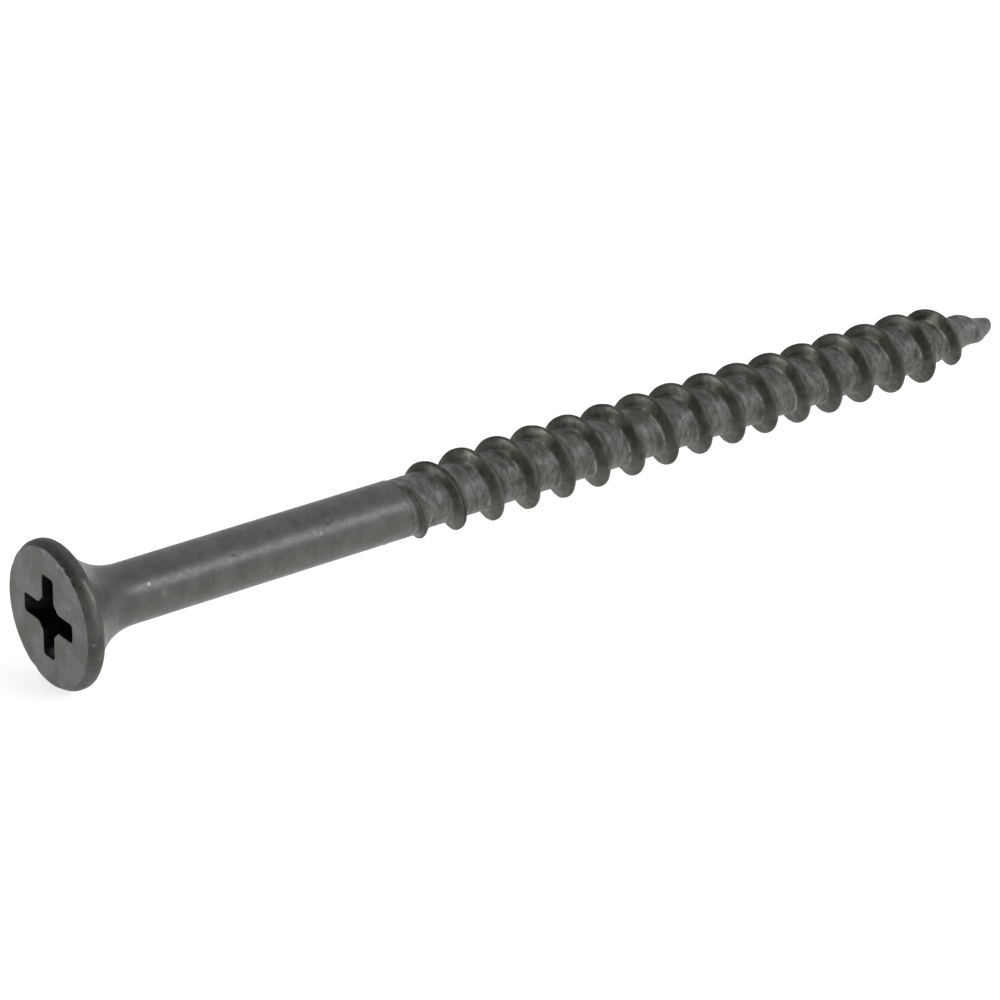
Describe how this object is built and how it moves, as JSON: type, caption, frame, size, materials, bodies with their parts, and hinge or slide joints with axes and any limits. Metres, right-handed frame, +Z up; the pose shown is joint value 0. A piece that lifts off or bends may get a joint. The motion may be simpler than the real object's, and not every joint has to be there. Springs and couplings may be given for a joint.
{
  "type": "wood screw",
  "caption": "Partly threaded wood screw with a bugle-shaped countersunk head, a cross recess, a coarse right-hand thread and a gimlet point.",
  "frame": {"origin": "centre of the head's flat face, on the screw's axis, at the mouth of the drive recess", "axes": "+X along the screw from the head to the point, +Z up as the screw lies on its side, with one pair of the recess's wings within 3 degrees of Z and the other of Y"},
  "size_m": [0.0752, 0.0092, 0.0092],
  "materials": {
    "steel_head": "satin grey-black phosphate over steel",
    "steel_shank": "satin grey-black phosphate over steel",
    "steel_thread": "rough grey-black phosphate over steel"
  },
  "bodies": {
    "root": {"head": "steel_head", "neck": "steel_shank", "shank": "steel_shank", "thread_core": "steel_thread", "thread_ridge": "steel_thread", "point": "steel_thread"}
  },
  "joints": []
}
